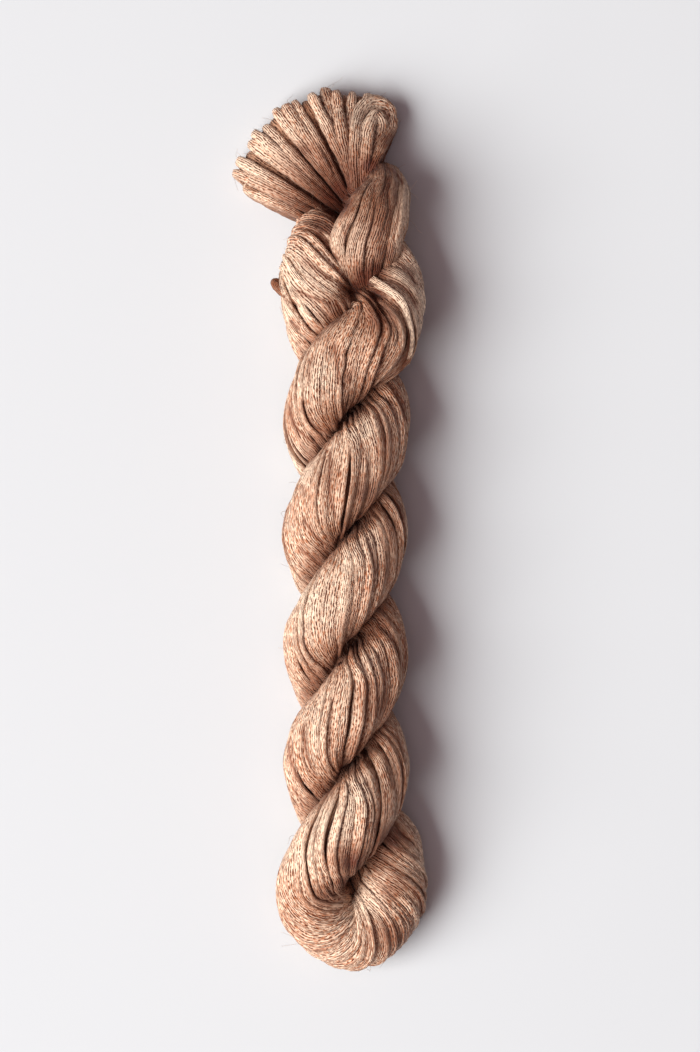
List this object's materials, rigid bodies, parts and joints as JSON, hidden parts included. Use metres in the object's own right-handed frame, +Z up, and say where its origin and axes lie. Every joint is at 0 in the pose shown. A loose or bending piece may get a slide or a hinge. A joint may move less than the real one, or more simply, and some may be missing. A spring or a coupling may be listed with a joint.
{
  "type": "yarn hank",
  "caption": "Twisted hank of linen tape yarn: the skein is folded into a two-ply twist with a bight at one end and its other end tucked through a ring and spread as a fan of loops.",
  "frame": {"origin": "on the table, below the middle of the hank's box", "axes": "+Z up from the table, +Y along the hank from the bight to the fan, +X to the right seen from above with the fan at the top"},
  "size_m": [0.0623, 0.2837, 0.0348],
  "materials": {
    "linen_yarn": "matt, warm tan linen tape yarn with a fine knitted grain and a slight sheen"
  },
  "bodies": {
    "root": {"yarn_hank": "linen_yarn"}
  },
  "joints": []
}
